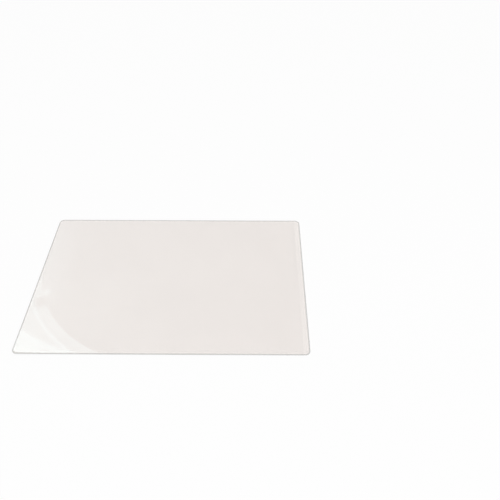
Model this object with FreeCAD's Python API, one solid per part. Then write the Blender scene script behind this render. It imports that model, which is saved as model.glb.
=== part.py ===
# Laminating pouch, legal size, as it lies on a table.
# Two clear films of polyester with a heat-seal adhesive inside, cut to one outline by
# one die and welded to each other along one short edge. The other three edges are open.
# Millimetres. X runs along the pouch with the welded edge at +X and the mouth at -X,
# Y runs across it, and Z is up. The origin is under the middle of the pouch.
import FreeCAD, Part
import math
import os

os.makedirs("parts", exist_ok=True)

# Driving dimensions
pouch_length = 368.3  # 14 1/2 in, for a 14 in document
pouch_width = 228.6  # 9 in, for an 8 1/2 in document
corner_radius = 6.35  # 1/4 in, the die's corners
film_thickness = 0.127  # 5 mil, one film
seal_width = 8.0  # the welded strip along the short edge at +X
mouth_gape = 0.5  # how far the upper film stands off the lower one at the mouth
corner_lift = 1.1  # how much more it curls up at the front corner of the mouth
curl_radius = 160.0  # a circle that touches both edges of that corner; the curl is outside it

# The upper film's surface is a cubic spline with this many poles each way
spline_degree = 3
poles_along = 20
poles_across = 14
trim_allowance = 4.0  # film beyond the outline that the die cuts away

mouth_x = -pouch_length / 2
welded_x = pouch_length / 2
front_y = -pouch_width / 2
back_y = pouch_width / 2
seal_x = welded_x - seal_width
interface_z = film_thickness  # where the two films touch


def die_cut(low_z, high_z):
    """The pouch's outline with its round corners, as a block from low_z to high_z."""
    blank = Part.makeBox(
        pouch_length,
        pouch_width,
        high_z - low_z,
        FreeCAD.Vector(mouth_x, front_y, low_z),
    )
    corner_edges = [
        edge for edge in blank.Edges if abs(edge.tangentAt(edge.FirstParameter).z) > 0.5
    ]
    return blank.makeFillet(corner_radius, corner_edges)


def gap_height(x, y):
    """How far the upper film stands off the lower one.

    The gap opens slowly from the weld to the mouth. At the mouth's front corner the film also
    curls up, outside a circle that touches the mouth and the front edge.
    """
    from_weld = (seal_x - x) / (seal_x - mouth_x)
    towards_mouth = max(mouth_x + curl_radius - x, 0.0)
    towards_front = max(front_y + curl_radius - y, 0.0)
    past_circle = max(math.hypot(towards_mouth, towards_front) - curl_radius, 0.0)
    corner_past_circle = curl_radius * (math.sqrt(2) - 1)
    gape = mouth_gape * from_weld**2
    curl = corner_lift * (past_circle / corner_past_circle) ** 2
    return gape + curl


def spline_knots(count):
    """The knots and multiplicities of a spline of count poles that is clamped at both ends."""
    spans = count - spline_degree
    end_multiplicity = spline_degree + 1
    knots = [float(i) for i in range(spans + 1)]
    multiplicities = [end_multiplicity] + [1] * (spans - 1) + [end_multiplicity]
    return knots, multiplicities


def spline_stations(start, end, count):
    """Places for the poles of that spline, so that it runs evenly from start to end."""
    knots, multiplicities = spline_knots(count)
    repeated = [knot for knot, times in zip(knots, multiplicities) for _ in range(times)]
    means = [sum(repeated[i + 1 : i + 1 + spline_degree]) / spline_degree for i in range(count)]
    return [start + (end - start) * mean / knots[-1] for mean in means]


def curled_sheet():
    """The underside of the free part of the upper film, a little larger than the outline."""
    along = spline_stations(seal_x, mouth_x - trim_allowance, poles_along)
    across = spline_stations(front_y - trim_allowance, back_y + trim_allowance, poles_across)
    level_rows = 2  # the first rows stay level, so that the film leaves the weld without a crease
    poles = []
    for row, x in enumerate(along):
        gaps = [0.0 if row < level_rows else gap_height(x, y) for y in across]
        poles.append([FreeCAD.Vector(x, y, interface_z + gap) for y, gap in zip(across, gaps)])
    knots_along, multiplicities_along = spline_knots(poles_along)
    knots_across, multiplicities_across = spline_knots(poles_across)
    surface = Part.BSplineSurface()
    surface.buildFromPolesMultsKnots(
        poles,
        multiplicities_along,
        multiplicities_across,
        knots_along,
        knots_across,
        False,
        False,
        spline_degree,
        spline_degree,
    )
    return surface.toShape()


def lower_film():
    """The film that lies on the table, flat all over."""
    return die_cut(0.0, film_thickness)


def upper_film():
    """The film on top: flat on the lower one in the welded strip, then free up to the mouth."""
    welded_strip = Part.makeBox(
        seal_width,
        pouch_width,
        film_thickness,
        FreeCAD.Vector(seal_x, front_y, interface_z),
    )
    free_sheet = curled_sheet().extrude(FreeCAD.Vector(0, 0, film_thickness))
    tallest = interface_z + mouth_gape + corner_lift + film_thickness + trim_allowance
    outline = die_cut(-trim_allowance, tallest)
    return welded_strip.common(outline).fuse(free_sheet.common(outline))


for name, shape in {"lower_film": lower_film(), "upper_film": upper_film()}.items():
    film = shape.Solids[0]
    print(name, "solids", len(shape.Solids), "valid", film.isValid(), "volume", round(film.Volume, 1))
    film.exportStep(f"parts/{name}.step")
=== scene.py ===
# A legal-size laminating pouch, lying flat on a white table in studio light.
import math

import bmesh
import bpy
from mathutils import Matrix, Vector, noise


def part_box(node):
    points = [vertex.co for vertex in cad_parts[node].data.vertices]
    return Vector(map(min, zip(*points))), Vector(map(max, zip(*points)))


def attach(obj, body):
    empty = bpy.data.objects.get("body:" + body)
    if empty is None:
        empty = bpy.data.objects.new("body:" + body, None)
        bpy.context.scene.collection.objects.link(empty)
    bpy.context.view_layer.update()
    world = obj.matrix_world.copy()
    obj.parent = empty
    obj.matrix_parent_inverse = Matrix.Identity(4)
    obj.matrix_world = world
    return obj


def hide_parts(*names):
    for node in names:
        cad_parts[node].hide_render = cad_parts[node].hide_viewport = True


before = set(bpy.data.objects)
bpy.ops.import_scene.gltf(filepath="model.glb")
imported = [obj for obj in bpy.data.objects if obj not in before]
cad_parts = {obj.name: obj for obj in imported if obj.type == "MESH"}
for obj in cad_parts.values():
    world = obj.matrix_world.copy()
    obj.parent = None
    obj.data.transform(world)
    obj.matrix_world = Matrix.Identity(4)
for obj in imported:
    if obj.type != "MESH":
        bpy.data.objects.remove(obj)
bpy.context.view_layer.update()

# The lower film of the pouch: clear polyester with a heat-seal adhesive on its upper side,
# cut by a steel-rule die. It lies flat on the table and stays the part's own solid.
MM = 0.001
lower_low, lower_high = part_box("lower_film")
pouch_length = lower_high.x - lower_low.x
pouch_width = lower_high.y - lower_low.y
film_thickness = lower_high.z - lower_low.z
corner_radius = 6.35 * MM
seal_width = 8.0 * MM
seal_x = lower_high.x - seal_width

WHITE = (1.0, 1.0, 1.0, 1.0)
POLYESTER_TINT = (0.990, 0.978, 0.970, 1.0)
HAZE_COLOUR = (0.700, 0.660, 0.640, 1.0)
# The dark colour of the cut edge is painted shade, for refraction in the edge and the shadow under it.
EDGE_SHADE_COLOUR = (0.110, 0.190, 0.200, 1.0)
EDGE_SHADE_BAND = 2.7 * MM  # how far in the painted shade of the cut edge reaches
EDGE_SHADE_DARKEST_SHARE = 0.2  # the outer share of that band, where it is darkest
RIM_HIGHLIGHT_BAND = 4.4 * MM  # how far in the veil is thinner, a faint painted highlight along the rim
RIM_HIGHLIGHT_HAZE_SHARE = 0.75
SEAL_BLEND = 0.3 * MM
VEIL_ROUGHNESS = 0.6
STREAK_SCALE = 260.0
STREAK_SHARE_ALONG = 0.02  # of that scale, along the roll
STREAK_DETAIL = 3.0
CLOUD_SCALE = 9.0
CLOUD_DETAIL = 2.0
NOISE_LOW = 0.3
NOISE_HIGH = 0.7
FACE_ON_REFLECTANCE = 0.04  # of polyester, seen straight on
GRAZING_POWER = 5.0


def cut_edge_distance():
    """Node group: how far a point lies inside the pouch's die-cut outline, in metres."""
    tree = bpy.data.node_groups.new("Cut edge distance", "ShaderNodeTree")
    for name in ("Half Length", "Half Width", "Corner Radius"):
        tree.interface.new_socket(name, in_out="INPUT", socket_type="NodeSocketFloat")
    tree.interface.new_socket("Distance", in_out="OUTPUT", socket_type="NodeSocketFloat")
    nodes, links = tree.nodes, tree.links
    given = nodes.new("NodeGroupInput")
    result = nodes.new("NodeGroupOutput")
    place = nodes.new("ShaderNodeTexCoord")
    folded = nodes.new("ShaderNodeVectorMath")
    folded.operation = "ABSOLUTE"
    links.new(place.outputs["Object"], folded.inputs[0])
    split = nodes.new("ShaderNodeSeparateXYZ")
    links.new(folded.outputs["Vector"], split.inputs[0])

    def arithmetic(operation, *terms):
        node = nodes.new("ShaderNodeMath")
        node.operation = operation
        for socket, term in zip(node.inputs, terms):
            if isinstance(term, float):
                socket.default_value = term
            else:
                links.new(term, socket)
        return node.outputs[0]

    radius = given.outputs["Corner Radius"]
    straight_x = arithmetic("SUBTRACT", given.outputs["Half Length"], radius)
    straight_y = arithmetic("SUBTRACT", given.outputs["Half Width"], radius)
    past_x = arithmetic("SUBTRACT", split.outputs["X"], straight_x)
    past_y = arithmetic("SUBTRACT", split.outputs["Y"], straight_y)
    out_x = arithmetic("MAXIMUM", past_x, 0.0)
    out_y = arithmetic("MAXIMUM", past_y, 0.0)
    squares = arithmetic("ADD", arithmetic("MULTIPLY", out_x, out_x), arithmetic("MULTIPLY", out_y, out_y))
    round_part = arithmetic("SQRT", squares)
    straight_part = arithmetic("MINIMUM", arithmetic("MAXIMUM", past_x, past_y), 0.0)
    outside = arithmetic("SUBTRACT", arithmetic("ADD", round_part, straight_part), radius)
    links.new(arithmetic("MULTIPLY", outside, -1.0), result.inputs["Distance"])
    return tree


def film_grain():
    """Node group: the film's streaks along the roll and its slow cloudiness, each from 0 to 1."""
    tree = bpy.data.node_groups.new("Film grain", "ShaderNodeTree")
    for name in ("Streak Scale", "Cloud Scale"):
        tree.interface.new_socket(name, in_out="INPUT", socket_type="NodeSocketFloat")
    for name in ("Streaks", "Clouds"):
        tree.interface.new_socket(name, in_out="OUTPUT", socket_type="NodeSocketFloat")
    nodes, links = tree.nodes, tree.links
    given = nodes.new("NodeGroupInput")
    result = nodes.new("NodeGroupOutput")
    place = nodes.new("ShaderNodeTexCoord")
    drawn = nodes.new("ShaderNodeMapping")
    drawn.inputs["Scale"].default_value = (STREAK_SHARE_ALONG, 1.0, 1.0)
    links.new(place.outputs["Object"], drawn.inputs["Vector"])
    streaks = nodes.new("ShaderNodeTexNoise")
    streaks.inputs["Detail"].default_value = STREAK_DETAIL
    links.new(drawn.outputs["Vector"], streaks.inputs["Vector"])
    links.new(given.outputs["Streak Scale"], streaks.inputs["Scale"])
    clouds = nodes.new("ShaderNodeTexNoise")
    clouds.inputs["Detail"].default_value = CLOUD_DETAIL
    links.new(place.outputs["Object"], clouds.inputs["Vector"])
    links.new(given.outputs["Cloud Scale"], clouds.inputs["Scale"])
    links.new(streaks.outputs["Fac"], result.inputs["Streaks"])
    links.new(clouds.outputs["Fac"], result.inputs["Clouds"])
    return tree


edge_distance_group = cut_edge_distance()
grain_group = film_grain()


def film_finish(name, haze, haze_variation, sealed_haze, edge_shade_strength, gloss_roughness, relief_depth):
    """A see-through film surface: what lies behind it, a milky veil, a dark band of painted shade along
    the die-cut edge with a faint painted highlight just inside it, and gloss.
    """
    material = bpy.data.materials.new(name)
    material.use_nodes = True
    nodes, links = material.node_tree.nodes, material.node_tree.links
    nodes.clear()
    output = nodes.new("ShaderNodeOutputMaterial")

    def eased(value, low_in, high_in, low_out, high_out):
        node = nodes.new("ShaderNodeMapRange")
        node.interpolation_type = "SMOOTHSTEP"
        node.inputs["From Min"].default_value = low_in
        node.inputs["From Max"].default_value = high_in
        node.inputs["To Min"].default_value = low_out
        node.inputs["To Max"].default_value = high_out
        links.new(value, node.inputs["Value"])
        return node.outputs["Result"]

    def combined(operation, first, second):
        node = nodes.new("ShaderNodeMath")
        node.operation = operation
        for socket, term in zip(node.inputs, (first, second)):
            if isinstance(term, float):
                socket.default_value = term
            else:
                links.new(term, socket)
        return node.outputs[0]

    grain = nodes.new("ShaderNodeGroup")
    grain.node_tree = grain_group
    grain.inputs["Streak Scale"].default_value = STREAK_SCALE
    grain.inputs["Cloud Scale"].default_value = CLOUD_SCALE

    outline = nodes.new("ShaderNodeGroup")
    outline.node_tree = edge_distance_group
    outline.inputs["Half Length"].default_value = pouch_length / 2
    outline.inputs["Half Width"].default_value = pouch_width / 2
    outline.inputs["Corner Radius"].default_value = corner_radius
    from_edge = outline.outputs["Distance"]
    # Painted shade: a dark band along the cut edge stands in for light lost by refraction in the edge and
    # the shadow where the film meets what lies under it.
    painted_edge_shade = eased(from_edge, EDGE_SHADE_BAND * EDGE_SHADE_DARKEST_SHARE, EDGE_SHADE_BAND, 1.0, 0.0)
    # A thinner veil in a rim just inside the edge shade is a faint painted highlight.
    rim_highlight_thinning = eased(from_edge, EDGE_SHADE_BAND, RIM_HIGHLIGHT_BAND, RIM_HIGHLIGHT_HAZE_SHARE, 1.0)

    place = nodes.new("ShaderNodeTexCoord")
    along = nodes.new("ShaderNodeSeparateXYZ")
    links.new(place.outputs["Object"], along.inputs[0])
    sealed = eased(along.outputs["X"], seal_x - SEAL_BLEND, seal_x + SEAL_BLEND, 1.0, sealed_haze)

    least, most = haze - haze_variation, haze + haze_variation
    clouded = eased(grain.outputs["Clouds"], NOISE_LOW, NOISE_HIGH, least, most)
    streak_variation = haze_variation / 3
    streaked = eased(grain.outputs["Streaks"], NOISE_LOW, NOISE_HIGH, -streak_variation, streak_variation)
    milkiness = combined("MULTIPLY", combined("ADD", clouded, streaked), sealed)
    milkiness = combined("MULTIPLY", milkiness, rim_highlight_thinning)
    veil = combined("ADD", milkiness, combined("MULTIPLY", painted_edge_shade, edge_shade_strength))

    # The veil turns to the dark painted edge shade in that band.
    colour = nodes.new("ShaderNodeMix")
    colour.data_type = "RGBA"
    colour.inputs["A"].default_value = HAZE_COLOUR
    colour.inputs["B"].default_value = EDGE_SHADE_COLOUR
    links.new(painted_edge_shade, colour.inputs["Factor"])

    relief = nodes.new("ShaderNodeBump")
    relief.inputs["Distance"].default_value = relief_depth
    links.new(grain.outputs["Streaks"], relief.inputs["Height"])

    clear = nodes.new("ShaderNodeBsdfTransparent")
    clear.inputs["Color"].default_value = POLYESTER_TINT
    milky = nodes.new("ShaderNodeBsdfPrincipled")
    milky.inputs["Roughness"].default_value = VEIL_ROUGHNESS
    milky.inputs["Specular IOR Level"].default_value = 0.0
    links.new(colour.outputs["Result"], milky.inputs["Base Color"])
    body = nodes.new("ShaderNodeMixShader")
    links.new(veil, body.inputs[0])
    links.new(clear.outputs[0], body.inputs[1])
    links.new(milky.outputs[0], body.inputs[2])

    facing = nodes.new("ShaderNodeLayerWeight")
    facing.inputs["Blend"].default_value = 0.5  # Facing is then one less the cosine
    grazing = combined("POWER", facing.outputs["Facing"], GRAZING_POWER)
    grazing = combined("MULTIPLY", grazing, 1.0 - FACE_ON_REFLECTANCE)
    reflectance = combined("ADD", grazing, FACE_ON_REFLECTANCE)
    # The gloss is taken away in the band of painted edge shade.
    flat_share = combined("SUBTRACT", 1.0, painted_edge_shade)
    gloss = nodes.new("ShaderNodeBsdfGlossy")
    gloss.inputs["Color"].default_value = WHITE
    gloss.inputs["Roughness"].default_value = gloss_roughness
    links.new(relief.outputs["Normal"], gloss.inputs["Normal"])
    film = nodes.new("ShaderNodeMixShader")
    links.new(combined("MULTIPLY", reflectance, flat_share), film.inputs[0])
    links.new(body.outputs[0], film.inputs[1])
    links.new(gloss.outputs[0], film.inputs[2])
    links.new(film.outputs[0], output.inputs["Surface"])
    return material


polyester_side = film_finish(
    "polyester_side",
    haze=0.012,
    haze_variation=0.003,
    sealed_haze=1.0,
    edge_shade_strength=0.059,
    gloss_roughness=0.020,
    relief_depth=0.0005 * MM,
)
adhesive_side = film_finish(
    "adhesive_side",
    haze=0.108,
    haze_variation=0.006,
    sealed_haze=0.75,
    edge_shade_strength=0.078,
    gloss_roughness=0.60,
    relief_depth=0.02 * MM,
)
adhesive_side_up = film_finish(
    "adhesive_side_up",
    haze=0.076,
    haze_variation=0.004,
    sealed_haze=0.75,
    edge_shade_strength=0.078,
    gloss_roughness=0.60,
    relief_depth=0.02 * MM,
)

lower_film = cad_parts["lower_film"]
lower_film.data.materials.clear()
lower_film.data.materials.append(adhesive_side_up)

# The upper film: the same polyester and adhesive, adhesive side down. It is welded to the
# lower film along the short edge at +X, lies ever more loosely on it towards the mouth at
# the other end, and curls up at the mouth's front corner, outside a circle.
MOUTH_GAPE = 0.5 * MM
CORNER_LIFT = 1.1 * MM
CURL_RADIUS = 160.0 * MM
RIPPLE_HEIGHT = 0.06 * MM
RIPPLE_SCALE = 14.0
RIPPLE_SHARE_ACROSS = 0.6  # of that scale, across the pouch
RIPPLE_SLICE = 2.0  # where the noise is cut, which picks the pattern
GRID_STEP = 4.0 * MM
FINE_STEP = 1.5 * MM
FINE_REACH = 125.0 * MM  # how far from the front corner of the mouth the grid is fine
CORNER_SEGMENTS = 10
SHARP_ANGLE = 40
POLYESTER_INDEX = 0
ADHESIVE_INDEX = 1
FILM_STANDOFF = 0.005 * MM  # keeps the two welded faces from lying in one plane


def gap_height(x, y):
    """How far the upper film stands off the lower one."""
    from_weld = max((seal_x - x) / (seal_x - lower_low.x), 0.0)
    towards_mouth = max(lower_low.x + CURL_RADIUS - x, 0.0)
    towards_front = max(lower_low.y + CURL_RADIUS - y, 0.0)
    past_circle = max(math.hypot(towards_mouth, towards_front) - CURL_RADIUS, 0.0)
    corner_past_circle = CURL_RADIUS * (math.sqrt(2) - 1)
    gape = MOUTH_GAPE * from_weld**2
    curl = CORNER_LIFT * (past_circle / corner_past_circle) ** 2
    ripple_place = Vector((x * RIPPLE_SCALE, y * RIPPLE_SCALE * RIPPLE_SHARE_ACROSS, RIPPLE_SLICE))
    ripple = RIPPLE_HEIGHT * from_weld * noise.noise(ripple_place)
    return gape + curl + ripple


def grid_cuts(low, high):
    """Places to cut the sheet from low to high: close together near low, then further apart."""
    cuts = []
    place = low + FINE_STEP
    while place < high:
        cuts.append(place)
        place += FINE_STEP if place - low < FINE_REACH else GRID_STEP
    return cuts


bm = bmesh.new()
sharp_corners = [
    bm.verts.new((lower_low.x, lower_low.y, 0.0)),
    bm.verts.new((lower_high.x, lower_low.y, 0.0)),
    bm.verts.new((lower_high.x, lower_high.y, 0.0)),
    bm.verts.new((lower_low.x, lower_high.y, 0.0)),
]
bm.faces.new(sharp_corners)
bmesh.ops.bevel(
    bm,
    geom=bm.verts[:],
    offset=corner_radius,
    affect="VERTICES",
    segments=CORNER_SEGMENTS,
    profile=0.5,
    material=-1,
)
for low, high, direction in (
    (lower_low.x, lower_high.x, Vector((1, 0, 0))),
    (lower_low.y, lower_high.y, Vector((0, 1, 0))),
):
    for place in grid_cuts(low, high):
        bmesh.ops.bisect_plane(
            bm,
            geom=bm.verts[:] + bm.edges[:] + bm.faces[:],
            plane_co=direction * place,
            plane_no=direction,
        )
for vert in bm.verts:
    vert.co.z = film_thickness + FILM_STANDOFF + gap_height(vert.co.x, vert.co.y)
upper_side = bmesh.ops.extrude_face_region(bm, geom=bm.faces[:])
raised = [item for item in upper_side["geom"] if isinstance(item, bmesh.types.BMVert)]
bmesh.ops.translate(bm, verts=raised, vec=(0, 0, film_thickness - FILM_STANDOFF))
bmesh.ops.recalc_face_normals(bm, faces=bm.faces[:])
for face in bm.faces:
    face.smooth = True
    looks_down = face.normal.z < -0.5
    face.material_index = ADHESIVE_INDEX if looks_down else POLYESTER_INDEX
upper_mesh = bpy.data.meshes.new("upper_film_sheet")
bm.to_mesh(upper_mesh)
bm.free()
upper_mesh.set_sharp_from_angle(angle=math.radians(SHARP_ANGLE))
upper_mesh.materials.append(polyester_side)
upper_mesh.materials.append(adhesive_side)
upper_sheet = bpy.data.objects.new("upper_film_sheet", upper_mesh)
bpy.context.scene.collection.objects.link(upper_sheet)
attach(upper_sheet, "root")
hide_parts("upper_film")

# The table: a plain white floor that shows as white and keeps the pouch's faint shadow.
FLOOR_SIZE = 12.0
FLOOR_DROP = 0.3 * MM
FLOOR_COLOUR = (0.95, 0.95, 0.95, 1.0)
FLOOR_WHITE_SHARE = 0.90


def seen_or_mirrored(nodes, links):
    """A mask that is 1 for what the camera sees, straight on, in a gloss or through the film."""
    path = nodes.new("ShaderNodeLightPath")
    mask = path.outputs["Is Camera Ray"]
    for ray in ("Is Glossy Ray", "Is Transmission Ray"):
        either = nodes.new("ShaderNodeMath")
        either.operation = "ADD"
        either.use_clamp = True
        links.new(mask, either.inputs[0])
        links.new(path.outputs[ray], either.inputs[1])
        mask = either.outputs[0]
    return mask


bm = bmesh.new()
bmesh.ops.create_grid(bm, x_segments=1, y_segments=1, size=FLOOR_SIZE / 2)
bmesh.ops.translate(bm, verts=bm.verts[:], vec=(0, 0, -FLOOR_DROP))
floor_mesh = bpy.data.meshes.new("table_top")
bm.to_mesh(floor_mesh)
bm.free()
table_top = bpy.data.objects.new("table_top", floor_mesh)
bpy.context.scene.collection.objects.link(table_top)

table_finish = bpy.data.materials.new("table_finish")
table_finish.use_nodes = True
nodes, links = table_finish.node_tree.nodes, table_finish.node_tree.links
nodes.clear()
output = nodes.new("ShaderNodeOutputMaterial")
matte = nodes.new("ShaderNodeBsdfDiffuse")
matte.inputs["Color"].default_value = FLOOR_COLOUR
white = nodes.new("ShaderNodeEmission")
white.inputs["Color"].default_value = WHITE
white.inputs["Strength"].default_value = 1.0
share = nodes.new("ShaderNodeMath")
share.operation = "MULTIPLY"
share.inputs[1].default_value = FLOOR_WHITE_SHARE
links.new(seen_or_mirrored(nodes, links), share.inputs[0])
surface = nodes.new("ShaderNodeMixShader")
links.new(share.outputs[0], surface.inputs[0])
links.new(matte.outputs[0], surface.inputs[1])
links.new(white.outputs[0], surface.inputs[2])
links.new(surface.outputs[0], output.inputs["Surface"])
floor_mesh.materials.append(table_finish)

# The studio: even light from all round, a soft box above the camera, and two light panels
# whose mirror images lie on the film.
WORLD_LIGHT = 0.78
BOX_LENGTH = 1.6
BOX_WIDTH = 1.2
BOX_RADIANCE = 1.6
BOX_TILT = -25

world = bpy.data.worlds.new("studio")
bpy.context.scene.world = world
world.use_nodes = True
nodes, links = world.node_tree.nodes, world.node_tree.links
nodes.clear()
world_output = nodes.new("ShaderNodeOutputWorld")
even_light = nodes.new("ShaderNodeBackground")
even_light.inputs["Color"].default_value = WHITE
even_light.inputs["Strength"].default_value = WORLD_LIGHT
white_sky = nodes.new("ShaderNodeBackground")
white_sky.inputs["Color"].default_value = WHITE
white_sky.inputs["Strength"].default_value = 1.0
sky = nodes.new("ShaderNodeMixShader")
links.new(seen_or_mirrored(nodes, links), sky.inputs[0])
links.new(even_light.outputs[0], sky.inputs[1])
links.new(white_sky.outputs[0], sky.inputs[2])
links.new(sky.outputs[0], world_output.inputs["Surface"])

soft_box = bpy.data.lights.new("overhead_box", "AREA")
soft_box.shape = "RECTANGLE"
soft_box.size = BOX_LENGTH
soft_box.size_y = BOX_WIDTH
soft_box.energy = BOX_RADIANCE * math.pi * BOX_LENGTH * BOX_WIDTH
box_holder = bpy.data.objects.new("overhead_box", soft_box)
box_holder.location = (0.2, -0.9, 1.8)
box_holder.rotation_euler = (math.radians(BOX_TILT), 0, 0)
bpy.context.scene.collection.objects.link(box_holder)

GLOW_COLOUR = (0.69, 0.95, 1.0, 1.0)  # cool, against the warm film
PANEL_STEPS = 48


def ring_panel(name, centre, inner_radius, outer_radius, start, sweep, glows, fades):
    """A flat light panel, a sector of a ring, whose glow melts into the white round it.

    Each glow and each fade is a place with its strengths at distances from there. The glows
    are added up and multiplied by the fades.
    """
    outward = Vector((math.cos(start), math.sin(start), 0.0))
    bm = bmesh.new()
    inner_end = bm.verts.new(centre + outward * inner_radius)
    outer_end = bm.verts.new(centre + outward * outer_radius)
    rib = bm.edges.new((inner_end, outer_end))
    bmesh.ops.spin(
        bm,
        geom=[inner_end, outer_end, rib],
        cent=centre,
        axis=(0, 0, 1),
        angle=sweep,
        steps=PANEL_STEPS,
    )
    mesh = bpy.data.meshes.new(name)
    bm.to_mesh(mesh)
    bm.free()
    panel = bpy.data.objects.new(name, mesh)
    bpy.context.scene.collection.objects.link(panel)
    panel.visible_camera = False
    panel.visible_diffuse = False
    panel.visible_shadow = False

    finish = bpy.data.materials.new(name)
    finish.use_nodes = True
    nodes, links = finish.node_tree.nodes, finish.node_tree.links
    nodes.clear()
    output = nodes.new("ShaderNodeOutputMaterial")
    place = nodes.new("ShaderNodeTexCoord")
    plain_white = nodes.new("ShaderNodeEmission")
    plain_white.inputs["Color"].default_value = WHITE
    plain_white.inputs["Strength"].default_value = 1.0
    light = nodes.new("ShaderNodeEmission")
    light.inputs["Color"].default_value = GLOW_COLOUR

    def profile(origin, steps):
        """The strength given for a point's distance from origin, and the node that scales it."""
        nearest, furthest = steps[0][0], steps[-1][0]
        brightest = max(strength for _, strength in steps)
        from_origin = nodes.new("ShaderNodeVectorMath")
        from_origin.operation = "DISTANCE"
        from_origin.inputs[1].default_value = origin
        links.new(place.outputs["Object"], from_origin.inputs[0])
        across = nodes.new("ShaderNodeMapRange")
        across.inputs["From Min"].default_value = nearest
        across.inputs["From Max"].default_value = furthest
        links.new(from_origin.outputs["Value"], across.inputs["Value"])
        ramp = nodes.new("ShaderNodeValToRGB")
        stops = ramp.color_ramp.elements
        while len(stops) < len(steps):
            stops.new(0.5)
        for stop, (distance, strength) in zip(stops, steps):
            stop.position = (distance - nearest) / (furthest - nearest)
            share = strength / brightest
            stop.color = (share, share, share, 1.0)
        links.new(across.outputs["Result"], ramp.inputs["Fac"])
        scaled = nodes.new("ShaderNodeMath")
        scaled.operation = "MULTIPLY_ADD"
        scaled.inputs[1].default_value = brightest
        scaled.inputs[2].default_value = 0.0
        links.new(ramp.outputs["Color"], scaled.inputs[0])
        return scaled

    total = profile(*glows[0])
    for further_glow in glows[1:]:
        further = profile(*further_glow)
        links.new(total.outputs[0], further.inputs[2])
        total = further
    for fade in fades:
        melted = nodes.new("ShaderNodeMath")
        melted.operation = "MULTIPLY"
        links.new(total.outputs[0], melted.inputs[0])
        links.new(profile(*fade).outputs[0], melted.inputs[1])
        total = melted
    links.new(total.outputs[0], light.inputs["Strength"])
    both = nodes.new("ShaderNodeAddShader")
    links.new(plain_white.outputs[0], both.inputs[0])
    links.new(light.outputs[0], both.inputs[1])
    links.new(both.outputs[0], output.inputs["Surface"])
    mesh.materials.append(finish)


# The mirror image of this panel is the highlight on the curled corner, with a thin bright
# line along its inner side, a step close to the corner and a dip beside the mouth.
CORNER_PANEL_CENTRE = Vector((-0.2775, 0.8666, 1.0))
STEP_CENTRE = Vector((-0.2775, 1.1166, 1.0))
HIGHLIGHT_MIDDLE = Vector((-0.635, 0.496, 1.0))
DIP = Vector((-0.690, 0.636, 1.0))
ring_panel(
    "corner_panel",
    centre=CORNER_PANEL_CENTRE,
    inner_radius=0.470,
    outer_radius=0.890,
    start=math.radians(170),
    sweep=math.radians(112),
    glows=(
        (
            CORNER_PANEL_CENTRE,
            ((0.470, 1.75), (0.493, 1.65), (0.497, 2.9), (0.500, 2.9), (0.505, 1.9), (0.540, 2.1)),
        ),
        (
            STEP_CENTRE,
            ((0.600, 0.0), (0.715, 0.0), (0.722, 0.3), (0.730, 1.9), (0.740, 1.5), (0.760, 1.9)),
        ),
    ),
    fades=(
        (HIGHLIGHT_MIDDLE, ((0.0, 1.0), (0.27, 1.0), (0.37, 0.0))),
        (DIP, ((0.0, 0.0), (0.014, 0.1), (0.034, 1.0))),
    ),
)
# The mirror image of this one makes the film a little paler towards the mouth, most of all in
# a small patch above the highlight.
MOUTH_PANEL_CENTRE = Vector((0.30, 0.8666, 1.02))
PALE_MIDDLE = Vector((-0.78, 0.80, 1.02))
PATCH = Vector((-0.704, 0.690, 1.02))
ring_panel(
    "mouth_panel",
    centre=MOUTH_PANEL_CENTRE,
    inner_radius=0.900,
    outer_radius=1.400,
    start=math.radians(155),
    sweep=math.radians(55),
    glows=(
        (MOUTH_PANEL_CENTRE, ((0.920, 0.0), (1.070, 0.9))),
        (PATCH, ((0.0, 1.5), (0.010, 1.3), (0.022, 0.0))),
    ),
    fades=((PALE_MIDDLE, ((0.0, 1.0), (0.16, 1.0), (0.32, 0.0))),),
)

# The camera, where the photograph was taken from: above the table and a little right of the
# pouch's middle, looking down at it.
FRAME_PIXELS = 500
FOCAL_PIXELS = 465.0
CAMERA_PLACE = (111.0 * MM, -385.3 * MM, 518.4 * MM)
LOOK_DOWN = 49.66
LOOK_LEFT = 0.29
SENSOR_WIDTH = 36.0

camera = bpy.data.cameras.new("camera")
camera.sensor_fit = "HORIZONTAL"
camera.sensor_width = SENSOR_WIDTH
camera.lens = SENSOR_WIDTH * FOCAL_PIXELS / FRAME_PIXELS
camera.clip_start = 0.01
camera_stand = bpy.data.objects.new("camera", camera)
camera_stand.location = CAMERA_PLACE
camera_stand.rotation_euler = (math.radians(90 - LOOK_DOWN), 0, math.radians(LOOK_LEFT))
bpy.context.scene.collection.objects.link(camera_stand)
bpy.context.scene.camera = camera_stand

bpy.context.scene.view_settings.view_transform = "Standard"
